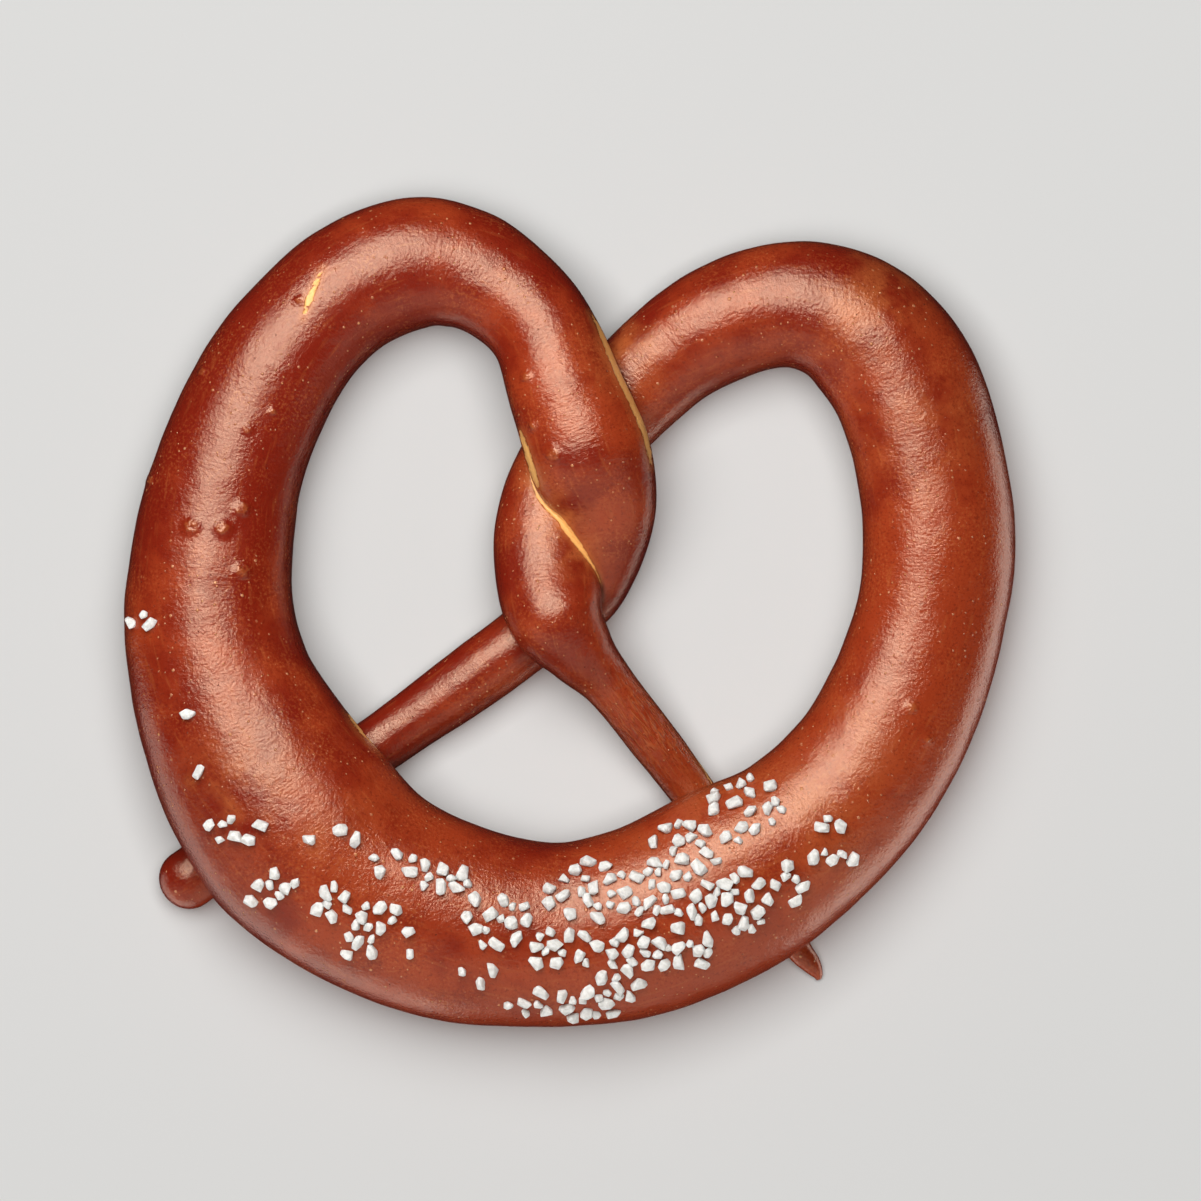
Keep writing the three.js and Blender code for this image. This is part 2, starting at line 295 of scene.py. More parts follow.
# Sizes of the crust's patterns. Pairs are along and round the rope.
BROAD_SIZE = 26
CLOUD_SIZE = 7
STREAK_SIZES = (7, 1.1)
FRECKLE_ZONE_SIZE = 10
SKIN_SIZE = 0.5
CRUMPLE_SIZE = 0.9
THREAD_SIZES = (2.4, 0.5)
RAGGED_SIZE = 1.1
SPECK_ZONE_SIZE = 11
BASE_SPOT_SIZE = 3.2
SWELL_SIZE = 2.4
WRINKLE_SIZE = 0.55
RING_SIZES = (0.45, 2.0)
SMALL_SPECKS = (1.1, 0.22, 0.40)  # spacing, radius, share of the cells that have one
LARGE_SPECKS = (2.4, 0.34, 0.40)
PITS = (1.9, 0.16, 0.35)
GRAIN_CLOUD_SIZE = 0.7
GRAIN_GRIT_SIZE = 0.35
GRAIN_GRIT_HEIGHT = 0.1

# How strongly each pattern colours the crust.
TONE_ACROSS = 0.0013  # the crust is lighter to the right, for each millimetre
TONE_UP = -0.0013  # and darker away from the belly
# painted shade: how far the crust's steep sides are darkened towards dark brown
SIDE_PAINTED_SHADE = 0.55
TAN_STRENGTH = 0.7
STREAK_STRENGTH = 0.16
FRECKLE_STRENGTH = 0.24
MOTTLE_STRENGTH = 0.42
BLISTER_STRENGTH = 0.30
THREAD_STRENGTH = 0.35
SPECK_STRENGTH = 0.85
PIT_SHADE_STRENGTH = 0.6
CREASE_SHADE_STRENGTH = 0.75
HALO_STRENGTH = 0.35  # beside the splits
HALO_WIDTH = 1.3
RAGGEDNESS = 0.7  # of the splits' edges, in millimetres

# Heights of the crust's fine relief.
SWELL_RISE = 0.13
WRINKLE_RISE = 0.10
RING_RISE = 0.045
LEATHERY_RING_RISE = 0.10  # more on the leathery skin
THREAD_RISE = 0.14
CRUMPLE_RISE = 0.20
PIT_DEPTH = 0.10
SPECK_RISE = 0.12
SPLIT_DEPTH = 0.12
BASE_RISE = 0.4  # times the wrinkles, on the underside

# The light: name, place, size, power, and whether the crust mirrors it.
FOOD_LIGHTS = [
    ("softbox", (-105, 195, 350), (360, 360), 2.4, True),
    ("fill", (-390, 520, 880), (1700, 1700), 2.5, False),
    ("front_panel", (0, -428, 124), (1600, 700), 1.6, True),
    ("bounce", (0, -428, 180), (1600, 700), 2.4, False),
    ("right_panel", (160, -45, -35), (260, 80), 0.12, True),
    ("left_panel", (-125, -120, -35), (240, 80), 0.07, True),
]
FLOOR_LIGHT = ("wash", (-150, 250, 1500), (1600, 1600), 28.5, True)
WORLD_COLOUR = (0.93, 0.93, 0.92, 1)
WORLD_STRENGTH = 0.02


def spline(rows, t):
    """Catmull-Rom points through the rows, at shares t of the number of stretches between them."""
    padded = np.vstack([2 * rows[0] - rows[1], rows, 2 * rows[-1] - rows[-2]])
    place = np.clip(t, 0, 1) * (len(rows) - 1)
    start = np.clip(np.floor(place).astype(int), 0, len(rows) - 2)
    f = (place - start)[:, None]
    a, b, c, d = (padded[start + k] for k in range(4))
    cubic = 3 * b - a - 3 * c + d
    square = 2 * a - 5 * b + 4 * c - d
    return 0.5 * (2 * b + (c - a) * f + square * f ** 2 + cubic * f ** 3)


def length_table():
    """How far along the rope each of many equal steps of the spline lies."""
    t = np.linspace(0, 1, STEPS_PER_STATION * len(STATIONS) + 1)
    points = spline(STATIONS[:, :2], t)
    steps = np.hypot(*np.diff(points, axis=0).T)
    return t, np.concatenate([[0], np.cumsum(steps)])


TABLE_T, TABLE_LENGTH = length_table()
ROPE_LENGTH = TABLE_LENGTH[-1]


def rope_at(shares):
    """Centre, side direction, width, height and base of the rope at shares of its length."""
    t = np.interp(np.asarray(shares) * ROPE_LENGTH, TABLE_LENGTH, TABLE_T)
    row = spline(STATIONS, t)
    step = 0.0001
    along = spline(STATIONS[:, :2], t + step) - spline(STATIONS[:, :2], t - step)
    along /= np.linalg.norm(along, axis=1)[:, None]
    side = np.stack([-along[:, 1], along[:, 0]], axis=1)
    return {"middle": row[:, :2], "side": side, "wide": row[:, 2], "high": row[:, 3],
            "base": np.maximum(row[:, 4], 0)}


def flattened(z):
    """Heights pressed flat on the tray, with a soft turn at the edge."""
    soft = 0.5 * (z + np.sqrt(z ** 2 + TRAY_ROUNDING ** 2))
    return np.maximum(soft - TRAY_PRESS, 0)


def strand_rings(start, end, tip_radius):
    """Shares of the length for a strand's rings, and how far each ring is drawn in at a tip."""
    shares, shrinks = [], []
    if tip_radius:
        for k in range(1, TIP_RINGS + 1):
            turn = k / (TIP_RINGS + 1) * math.pi / 2
            shares.append(start + tip_radius * (1 - math.cos(turn)) / ROPE_LENGTH)
            shrinks.append(math.sin(turn))
    first = start + tip_radius / ROPE_LENGTH
    count = round((end - first) * ROPE_LENGTH / RING_STEP)
    shares.extend(first + (end - first) * k / count for k in range(count + 1))
    shrinks.extend([1.0] * (count + 1))
    return np.array(shares), np.array(shrinks)


def lumps(points):
    """Uneven swelling of the dough at each point."""
    height = np.zeros(len(points))
    for size, rise in LUMPS:
        height += [rise * noise.noise(Vector(p) / size) for p in points]
    return height


def blister_mask(points):
    """Where the blisters are: 1 at a blister's middle, 0 at its edge, seen from above."""
    mask = np.zeros(len(points))
    for x, y, radius, _ in BLISTERS:
        away = np.hypot(points[:, 0] - x, points[:, 1] - y) / radius
        mask = np.maximum(mask, np.clip(1 - away ** 2, 0, 1))
    return mask


def blister_rise(points):
    """How far each point is raised by a blister."""
    rise = np.zeros(len(points))
    for x, y, radius, height in BLISTERS:
        away = np.hypot(points[:, 0] - x, points[:, 1] - y) / radius
        rise = np.maximum(rise, height * np.clip(1 - away ** 2, 0, 1) ** BLISTER_ROUNDNESS)
    return rise


def arm_grooves(points):
    """How far the belly's underside is lifted over the two arms that it lies on."""
    lift = np.zeros(len(points))
    for start, end in ARMS_UNDER_BELLY:
        arm = rope_at(np.linspace(start, end, ARM_SAMPLES))
        gaps = np.linalg.norm(points[:, None, :2] - arm["middle"][None], axis=2) - arm["wide"] / 2
        gap = np.maximum(gaps.min(axis=1), 0)
        lift = np.maximum(lift, GROOVE_DEPTH * np.exp(-(gap / GROOVE_WIDTH) ** 2))
    return lift


def strand_mesh(name, start, end, tip_radius, strand):
    """One closed strand of the rope, with its place along and round the rope on each vertex."""
    shares, shrinks = strand_rings(start, end, tip_radius)
    rope = rope_at(shares)
    turn = np.linspace(0, 2 * math.pi, SIDES, endpoint=False)
    turn = turn + TOP_CROWDING * np.cos(turn)
    across, up = np.cos(turn)[None, :], np.sin(turn)[None, :]
    half = rope["wide"][:, None] / 2
    waist = rope["high"][:, None] * WIDEST_AT
    reach = np.where(up > 0, rope["high"][:, None] - waist, waist * SINK)
    shrink = shrinks[:, None]
    xy = rope["middle"][:, None, :] + rope["side"][:, None, :] * (across * half * shrink)[..., None]
    z = rope["base"][:, None] + waist + reach * up * shrink
    points = np.dstack([xy, z]).reshape(-1, 3)
    outward = np.stack([across / half, up / reach], axis=-1)
    outward /= np.linalg.norm(outward, axis=-1)[..., None]
    normal = np.dstack([rope["side"][:, None, :] * outward[..., :1], outward[..., 1:]]).reshape(-1, 3)
    free = np.clip(points[:, 2] / LUMPS_FREE_AT, 0, 1)
    free *= np.repeat(np.minimum(rope["wide"] / LUMPS_FULL_WIDTH, 1), SIDES)
    upper = np.where(normal[:, 2] > 0, 1, 0)
    points += normal * (lumps(points) * free + blister_rise(points) * upper)[:, None]
    points[:, 2] = flattened(points[:, 2])
    if strand == 1:
        grooves = np.where(points[:, 2] < GROOVE_TOP, arm_grooves(points), 0)
        points[:, 2] = np.maximum(points[:, 2], grooves)
    girth = (half + reach.max(axis=1)[:, None]) / 2
    around = (turn[None, :] * girth).reshape(-1)
    along = np.repeat(shares * ROPE_LENGTH, SIDES)
    mesh = tube_mesh(name, points, len(shares))
    tag = mesh.attributes.new("strand", "INT", "FACE")
    tag.data.foreach_set("value", np.full(len(mesh.polygons), strand, np.int32))
    return mesh, points, np.stack([along, around], axis=1)


def tube_mesh(name, points, rings):
    """A mesh of rings of SIDES points each, closed at both ends."""
    ring = np.arange(rings - 1)[:, None] * SIDES
    corner = np.arange(SIDES)[None, :]
    following = (corner + 1) % SIDES
    quads = np.stack([ring + corner, ring + following, ring + SIDES + following, ring + SIDES + corner],
                     axis=-1).reshape(-1, 4)
    last = (rings - 1) * SIDES
    faces = quads.tolist() + [list(range(SIDES - 1, -1, -1)), list(range(last, last + SIDES))]
    mesh = bpy.data.meshes.new(name)
    mesh.from_pydata((points * MM).tolist(), [], faces)
    return mesh


def shown(name, mesh):
    """A new object for the mesh, linked to the scene."""
    piece = bpy.data.objects.new(name, mesh)
    bpy.context.scene.collection.objects.link(piece)
    return piece


def joined(first, others):
    """Unites the others with the first, and removes them."""
    bpy.context.view_layer.objects.active = first
    for other in others:
        join = first.modifiers.new("join", "BOOLEAN")
        join.operation = "UNION"
        join.solver = "MANIFOLD"
        join.object = other
        bpy.ops.object.modifier_apply(modifier=join.name)
        bpy.data.objects.remove(other)


def without_inner_walls(mesh):
    """Welds the strands' ends together and removes the walls left inside where they meet."""
    soup = bmesh.new()
    soup.from_mesh(mesh)
    bmesh.ops.remove_doubles(soup, verts=soup.verts, dist=WELD_GAP * MM)
    for share in (LEFT_LOBE_TOP, RIGHT_LOBE_TOP):
        end = rope_at([share])
        middle = Vector((*end["middle"][0], 0)) * MM
        along = Vector((*end["side"][0], 0)).cross(Vector((0, 0, 1)))
        reach = end["wide"][0] * MM
        wall = []
        for face in soup.faces:
            away = [vert.co - middle for vert in face.verts]
            if all(abs(gap.dot(along)) < WALL_GAP * MM and gap.length < 2 * reach for gap in away):
                wall.append(face)
        bmesh.ops.delete(soup, geom=wall, context="FACES")
    soup.to_mesh(mesh)
    soup.free()


def vertex_points(mesh):
    """The mesh's vertices in millimetres."""
    flat = np.empty(len(mesh.vertices) * 3)
    mesh.vertices.foreach_get("co", flat)
    return flat.reshape(-1, 3) / MM


def vertex_normals(mesh):
    """Which way the mesh faces at each vertex."""
    flat = np.empty(len(mesh.vertices) * 3)
    mesh.vertex_normals.foreach_get("vector", flat)
    return flat.reshape(-1, 3)


def search_tree(points):
    """A tree that finds the nearest of the points."""
    tree = kdtree.KDTree(len(points))
    for index, point in enumerate(points):
        tree.insert(point, index)
    tree.balance()
    return tree


def edge_strands(mesh):
    """For each edge, the lowest and highest strand number of its faces."""
    strand = np.empty(len(mesh.polygons), np.int32)
    mesh.attributes["strand"].data.foreach_get("value", strand)
    loop_edge = np.empty(len(mesh.loops), np.int32)
    mesh.loops.foreach_get("edge_index", loop_edge)
    sizes = np.empty(len(mesh.polygons), np.int32)
    mesh.polygons.foreach_get("loop_total", sizes)
    loop_strand = np.repeat(strand, sizes)
    low = np.full(len(mesh.edges), 9, np.int32)
    high = np.full(len(mesh.edges), -1, np.int32)
    np.minimum.at(low, loop_edge, loop_strand)
    np.maximum.at(high, loop_edge, loop_strand)
    return low, high


def vertex_strands(mesh):
    """The strand that each vertex belongs to."""
    strand = np.empty(len(mesh.polygons), np.int32)
    mesh.attributes["strand"].data.foreach_get("value", strand)
    loop_vertex = np.empty(len(mesh.loops), np.int32)
    mesh.loops.foreach_get("vertex_index", loop_vertex)
    sizes = np.empty(len(mesh.polygons), np.int32)
    mesh.polygons.foreach_get("loop_total", sizes)
    owner = np.full(len(mesh.vertices), -1, np.int32)
    np.maximum.at(owner, loop_vertex, np.repeat(strand, sizes))
    return owner


def crease_points(mesh, points):
    """Points close together along every crease where two strands meet."""
    low, high = edge_strands(mesh)
    ends = np.empty(len(mesh.edges) * 2, np.int32)
    mesh.edges.foreach_get("vertices", ends)
    ends = ends.reshape(-1, 2)
    middle = (points[ends[:, 0]] + points[ends[:, 1]]) / 2
    crossing = (low == 0) & (high == 2)
    under_belly = (low != high) & (middle[:, 1] < ARMS_BELOW)
    pairs = points[ends[crossing | under_belly]]
    shares = np.linspace(0, 1, CREASE_SAMPLES)[None, :, None]
    return (pairs[:, :1] * (1 - shares) + pairs[:, 1:] * shares).reshape(-1, 3)


def nearest_distance(points, targets):
    """Distance from each point to the nearest target."""
    tree = search_tree(targets)
    return np.array([tree.find(p)[2] for p in points])


def line_distance(points, line):
    """Distance in plan from each point to a bent line, and the line's half width there."""
    best = np.full(len(points), 1e9)
    width = np.zeros(len(points))
    for (x0, y0, w0), (x1, y1, w1) in zip(line, line[1:]):
        start, run = np.array([x0, y0]), np.array([x1 - x0, y1 - y0])
        share = np.clip((points[:, :2] - start) @ run / (run @ run), 0, 1)
        distance = np.linalg.norm(points[:, :2] - start - share[:, None] * run, axis=1)
        closer = distance < best
        best[closer] = distance[closer]
        width[closer] = (w0 + (w1 - w0) * share)[closer]
    return best, width


def pale_gap(points, crease, owner, facing):
    """Distance from each point to the nearest split or pale streak, negative inside it."""
    gap = np.full(len(points), FARTHEST_GAP)
    off_top = np.where(facing > TOP_SIDE, 0, OUT_OF_REACH)
    for line in SPLITS:
        distance, width = line_distance(points, line)
        off_course = np.maximum(distance - SPLIT_REACH, 0)
        gap = np.minimum(gap, crease - width + off_course + off_top)
    for strand, line in STREAKS:
        distance, width = line_distance(points, line)
        off_strand = np.where(owner == strand, 0, OUT_OF_REACH)
        gap = np.minimum(gap, distance - width + off_top + off_strand)
    return gap


def round_patch(points, x, y, radius):
    """A mask that fades from 1 at the patch's middle, seen from above."""
    return np.exp(-((points[:, 0] - x) ** 2 + (points[:, 1] - y) ** 2) / radius ** 2)


def tan_mask(points):
    """How much each point lies in a patch where the crust stayed lighter."""
    mask = np.zeros(len(points))
    for x, y, radius, strength in TAN_PATCHES:
        mask = np.maximum(mask, strength * round_patch(points, x, y, radius))
    return mask


def add_attribute(mesh, name, values):
    """Stores a value on each vertex, for the material to read."""
    attribute = mesh.attributes.new(name, "FLOAT", "POINT")
    attribute.data.foreach_set("value", np.ascontiguousarray(values, np.float32))


def crust_shift(points):
    """What to add to the rope's own coordinates to be in the CAD frame."""
    high = np.array(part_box("pretzel")[1]) / MM
    shift = high - points.max(axis=0)
    return np.array([shift[0], shift[1], 0])


def build_crust():
    """The whole dough as one closed mesh, with the values that its material reads."""
    left = strand_mesh("left_strand", 0, LEFT_LOBE_TOP, TIP_RADIUS, 0)
    belly = strand_mesh("belly_strand", LEFT_LOBE_TOP, RIGHT_LOBE_TOP, 0, 1)
    right = strand_mesh("right_strand", RIGHT_LOBE_TOP, 1, 0, 2)
    crust = shown("crust", belly[0])
    joined(crust, [shown("left", left[0]), shown("right", right[0])])
    mesh = crust.data
    without_inner_walls(mesh)
    points = vertex_points(mesh)
    owner = vertex_strands(mesh)
    rope = np.zeros((len(points), 2))
    for strand, (_, strand_points, place) in enumerate((left, belly, right)):
        tree = search_tree(strand_points)
        for index in np.flatnonzero(owner == strand):
            rope[index] = place[tree.find(points[index])[1]]
    crease = nearest_distance(points, crease_points(mesh, points))
    add_attribute(mesh, "along", rope[:, 0])
    add_attribute(mesh, "around", rope[:, 1])
    add_attribute(mesh, "crease", np.minimum(crease, FARTHEST_CREASE))
    facing = vertex_normals(mesh)[:, 2]
    add_attribute(mesh, "pale_gap", pale_gap(points, crease, owner, facing))
    add_attribute(mesh, "tan", tan_mask(points))
    under = np.clip(UNDERSIDE_START - points[:, 2] / UNDERSIDE_FADE, 0, 1)
    add_attribute(mesh, "under", under)
    add_attribute(mesh, "facing", facing)
    add_attribute(mesh, "blister", blister_mask(points))
    add_attribute(mesh, "torn", round_patch(points, *TORN_SKIN))
    add_attribute(mesh, "leathery", round_patch(points, *LEATHERY_SKIN))
    mesh.shade_smooth()
    mesh.set_sharp_from_angle(angle=CRUST_SHARP_ANGLE)
    shift = crust_shift(points)
    moved = points + shift
    mesh.vertices.foreach_set("co", (moved * MM).ravel())
    mesh.update()
    return crust, shift


def seeded_random(seed):
    """Draws the numbers from 0 to 1 that the CAD model's salt draws."""
    state = seed
    while True:
        state = (state * 1664525 + 1013904223) % 2 ** 32
        yield state / 2 ** 32


def crust_above(samples, x, y):
    """The place and slope of the crust at a point of the plan, or nothing where it is too steep."""
    offsets = samples["middle"] - (x, y)
    nearest = np.argmin(np.hypot(offsets[:, 0], offsets[:, 1]))
    side = samples["side"][nearest]
    half = samples["wide"][nearest] / 2
    out = -(offsets[nearest] @ side) / half
    if abs(out) > STEEPEST_SALT:
        return None
    waist = samples["high"][nearest] * WIDEST_AT
    dome = samples["high"][nearest] - waist
    level = math.sqrt(1 - out * out)
    normal = Vector((side[0] * dome * out, side[1] * dome * out, level * half)).normalized()
    return Vector((x, y, samples["base"][nearest] + waist + dome * level)), normal


def salt_places(draw, samples, counts, gap, taken):
    """Places for the grains of each patch, no two closer than the gap."""
    places = []
    for (x, y, radius_x, radius_y, *_), count in zip(SALT, counts):
        for grain in range(count):
            for attempt in range(GRAIN_TRIES):
                radius = math.sqrt(next(draw))
                turn = next(draw) * 2 * math.pi
                crust = crust_above(
                    samples, x + radius_x * radius * math.cos(turn), y + radius_y * radius * math.sin(turn))
                if crust and all((crust[0] - other[0]).length > gap for other in taken + places):
                    places.append(crust)
                    break
    return places


def add_grain(soup, draw, size, matrix):
    """Adds one little crystal to the mesh soup: a hull of a few corners, with worn edges."""
    corners = []
    for k in range(GRAIN_CORNERS):
        level = 2 * (k + next(draw)) / GRAIN_CORNERS - 1
        turn = 2 * math.pi * (GRAIN_TURN * k + GRAIN_TURN_SPREAD * next(draw))
        flat = math.sqrt(1 - level * level)
        reach = GRAIN_REACH + GRAIN_REACH_SPREAD * next(draw)
        direction = Vector((flat * math.cos(turn), flat * math.sin(turn), level))
        box_reach = reach / max(abs(step) for step in direction) ** GRAIN_BOXINESS
        corners.append(Vector([step * width for step, width in zip(direction, size)]) * box_reach)
    grain = bmesh.new()
    for corner in corners:
        grain.verts.new(corner)
    hull = bmesh.ops.convex_hull(grain, input=grain.verts)
    loose = [item for item in hull["geom_interior"] if isinstance(item, bmesh.types.BMVert)]
    bmesh.ops.delete(grain, geom=loose, context="VERTS")
    bmesh.ops.dissolve_limit(
        grain, angle_limit=GRAIN_FLAT_ANGLE, verts=grain.verts, edges=grain.edges)
    bmesh.ops.bevel(grain, geom=grain.edges, offset=GRAIN_BEVEL, segments=2, profile=0.6,
                    affect="EDGES", clamp_overlap=True)
    bmesh.ops.remove_doubles(grain, verts=grain.verts, dist=WELD_GAP)
    grain.transform(matrix)
    mesh = bpy.data.meshes.new("grain")
    grain.to_mesh(mesh)
    grain.free()
    soup.from_mesh(mesh)
    bpy.data.meshes.remove(mesh)


def build_salt(shift):
    """All the grains of salt as one mesh."""
    samples = rope_at(np.arange(LEFT_LOBE_TOP, RIGHT_LOBE_TOP, SALT_SAMPLE_STEP / ROPE_LENGTH))
    draw = seeded_random(SALT_SEED)
    large = salt_places(draw, samples, [patch[4] for patch in SALT], LARGE_GAP, [])
    small_draw = seeded_random(SMALL_SALT_SEED)
    small = salt_places(small_draw, samples, [patch[5] for patch in SALT], SMALL_GAP, large)
    shape_draw = seeded_random(SMALL_SALT_SEED + 1)
    soup = bmesh.new()
    for index, (point, normal) in enumerate(large + small):
        is_large = index < len(large)
        source, ranges = (draw, LARGE_GRAIN) if is_large else (small_draw, SMALL_GRAIN)
        size = [low + (high - low) * next(source) for low, high in ranges]
        heading = next(source) * math.pi
        if is_large:
            for corner in range(CAD_GRAIN_CORNERS):
                next(source)  # the CAD model draws its own corners here
        upright = Vector((0, 0, 1)).rotation_difference(normal).to_matrix().to_4x4()
        middle = Matrix.Translation(point + normal * GRAIN_PROUD * size[2] + Vector(shift))
        add_grain(soup, shape_draw, size, middle @ upright @ Matrix.Rotation(heading, 4, "Z"))
    soup.transform(Matrix.Scale(MM, 4))
    mesh = bpy.data.meshes.new("salt")
    soup.to_mesh(mesh)
    soup.free()
    mesh.shade_smooth()
    mesh.set_sharp_from_angle(angle=GRAIN_SHARP_ANGLE)
    return shown("salt", mesh)


class Graph:
    """Builds one material's nodes."""

    def __init__(self, name):
        self.material = bpy.data.materials.new(name)
        self.material.use_nodes = True
        self.tree = self.material.node_tree
        self.shader = self.tree.nodes["Principled BSDF"]

    def node(self, kind, inputs=(), **settings):
        """Adds a node with these inputs and settings."""
        node = self.tree.nodes.new(kind)
        for key, value in settings.items():
            setattr(node, key, value)
        for key, value in dict(inputs).items():
            self.put(node.inputs[key], value)
        return node

    def put(self, socket, value):
        """Links a socket to the input, or sets the input to a plain value."""
        if isinstance(value, bpy.types.NodeSocket):
            self.tree.links.new(value, socket)
        elif isinstance(value, tuple) and len(value) == 3 and socket.type == "RGBA":
            socket.default_value = (*value, 1)
        else:
            socket.default_value = value

    def attribute(self, name):
        return self.node("ShaderNodeAttribute", attribute_name=name).outputs["Fac"]

    def math(self, operation, first, second=0.0, clamp=False):
        return self.node("ShaderNodeMath", {0: first, 1: second}, operation=operation,
                         use_clamp=clamp).outputs[0]

    def times(self, first, second):
        return self.math("MULTIPLY", first, second)

    def total(self, first, *others):
        """The sum of all the values."""
        for other in others:
            first = self.math("ADD", first, other)
        return first

    def blend(self, amount, first, second):
        """The first colour, covered by the second as far as the amount says."""
        node = self.node("ShaderNodeMix", data_type="RGBA")
        self.put(node.inputs["Factor"], amount)
        self.put(node.inputs[6], first)
        self.put(node.inputs[7], second)
        return node.outputs[2]

    def band(self, value, low, high, start=0.0, end=1.0):
        """The value, moved smoothly from start to end while it goes from low to high."""
        return self.node("ShaderNodeMapRange", {"Value": value, "From Min": low, "From Max": high,
                                                "To Min": start, "To Max": end},
                         interpolation_type="SMOOTHSTEP").outputs[0]

    def place(self):
        """Where a point is, in millimetres."""
        spot = self.node("ShaderNodeTexCoord").outputs["Object"]
        scaled = self.node("ShaderNodeVectorMath", {0: spot, 3: 1 / MM}, operation="SCALE")
        return scaled.outputs[0]

    def noise(self, vector, size, detail=2.0, roughness=0.5):
        """Noise with lumps of that size."""
        return self.node("ShaderNodeTexNoise", {"Vector": vector, "Scale": 1 / size, "Detail": detail,
                                                "Roughness": roughness}).outputs["Fac"]


def rope_noise(graph, sizes, detail):
    """Noise with lumps of those sizes along and round the rope."""
    return graph.noise(rope_place(graph, *sizes), 1, detail, 0.6)


def rope_place(graph, along_size, around_size):
    """A place along and round the rope, with both directions stretched to their own size."""
    along = graph.math("DIVIDE", graph.attribute("along"), along_size)
    around = graph.math("DIVIDE", graph.attribute("around"), around_size)
    return graph.node("ShaderNodeCombineXYZ", {0: along, 1: around}).outputs[0]


def speck_mask(graph, place, spacing, radius, share):
    """Small round specks, in a share of the cells of that spacing."""
    cell = graph.node("ShaderNodeTexVoronoi", {"Vector": place, "Scale": 1 / spacing})
    chosen = graph.math("LESS_THAN", graph.node(
        "ShaderNodeSeparateColor", {0: cell.outputs["Color"]}).outputs[0], share)
    spot = graph.band(cell.outputs["Distance"], radius / spacing, 0.4 * radius / spacing)
    return graph.times(chosen, spot)


def crust_masks(graph, place):
    """Where the crust's patterns are, for its colour, its gloss and its relief."""
    gap = graph.attribute("pale_gap")
    crumple = graph.noise(place, CRUMPLE_SIZE, 1, 0.6)
    threads = graph.band(rope_noise(graph, THREAD_SIZES, 1), 0.42, 0.66)
    specks = graph.math("ADD", speck_mask(graph, place, *SMALL_SPECKS),
                        speck_mask(graph, place, *LARGE_SPECKS), True)
    speck_zone = graph.band(graph.noise(place, SPECK_ZONE_SIZE, 1), 0.35, 0.65, 0.15, 1.0)
    unevenness = graph.math("SUBTRACT", graph.noise(place, RAGGED_SIZE, 2, 0.6), 0.5)
    return {
        "gap": gap,
        "under": graph.attribute("under"),
        "cloudy": graph.noise(place, CLOUD_SIZE, 3, 0.6),
        "blister": graph.times(graph.attribute("blister"), graph.times(crumple, 2)),
        "threads": graph.times(threads, graph.attribute("torn")),
        "specks": graph.times(specks, speck_zone),
        "pits": speck_mask(graph, place, *PITS),
        "split": graph.band(graph.total(gap, graph.times(unevenness, RAGGEDNESS)), 0.12, -0.12),
    }


def baked_colour(graph, place, cloudy):
    """The even browns of the crust, from its clouds, its height and its tan patches, with painted shade
    darkening its steep sides.
    """
    broad = graph.noise(place, BROAD_SIZE, 2, 0.5)
    across, up = graph.node("ShaderNodeSeparateXYZ", {0: place}).outputs[:2]
    tone = graph.total(graph.times(broad, 0.55), graph.times(cloudy, 0.45),
                       graph.times(across, TONE_ACROSS), graph.times(up, TONE_UP))
    colour = graph.blend(graph.band(tone, 0.38, 0.62), CHESTNUT, WARM_BROWN)
    # Painted shade: the crust is blended towards dark brown where it faces away from straight up, down its
    # steep sides.
    steep = graph.band(graph.attribute("facing"), 0.60, 0.05, 0.0, SIDE_PAINTED_SHADE)
    colour = graph.blend(steep, colour, DARK_BROWN)
    tan = graph.times(graph.attribute("tan"), graph.band(cloudy, 0.30, 0.62))
    return graph.blend(graph.times(tan, TAN_STRENGTH), colour, TAN)


def crust_colour(graph, place, masks):
    """The baked browns with their streaks, freckles, specks and splits, painted shade in the creases and
    pits, and the underside.
    """
    colour = baked_colour(graph, place, masks["cloudy"])
    streaks = graph.band(rope_noise(graph, STREAK_SIZES, 2), 0.55, 0.75, 0.0, STREAK_STRENGTH)
    colour = graph.blend(streaks, colour, TAN)
    skin = graph.noise(place, SKIN_SIZE, 2, 0.6)
    freckle_zone = graph.band(graph.noise(place, FRECKLE_ZONE_SIZE, 2, 0.5), 0.42, 0.66)
    freckles = graph.times(graph.band(skin, 0.50, 0.68), freckle_zone)
    colour = graph.blend(graph.times(freckles, FRECKLE_STRENGTH), colour, TAN)
    colour = graph.blend(graph.band(skin, 0.46, 0.30, 0.0, MOTTLE_STRENGTH), colour, DARK_BROWN)
    blister_tan = graph.band(masks["blister"], 0.35, 0.95, 0.0, BLISTER_STRENGTH)
    colour = graph.blend(blister_tan, colour, TAN)
    colour = graph.blend(graph.times(masks["threads"], THREAD_STRENGTH), colour, TAN)
    colour = graph.blend(graph.times(masks["specks"], SPECK_STRENGTH), colour, SPECK)
    # Painted shade: the small pits are darkened as well as dented.
    colour = graph.blend(graph.times(masks["pits"], PIT_SHADE_STRENGTH), colour, CREASE_SHADE)
    # Painted shade: the crust darkens close to the creases where the strands meet.
    creased = graph.band(graph.attribute("crease"), 0.9, 0.05, 0.0, CREASE_SHADE_STRENGTH)
    colour = graph.blend(creased, colour, CREASE_SHADE)
    colour = graph.blend(graph.band(masks["gap"], HALO_WIDTH, 0.0, 0.0, HALO_STRENGTH), colour, TAN)
    colour = graph.blend(masks["split"], colour, PALE_DOUGH)
    base_spots = graph.band(graph.noise(place, BASE_SPOT_SIZE, 3, 0.7), 0.40, 0.60)
    base = graph.blend(base_spots, BASE_SPOT, BAKED_BASE)
    return graph.blend(masks["under"], colour, base)


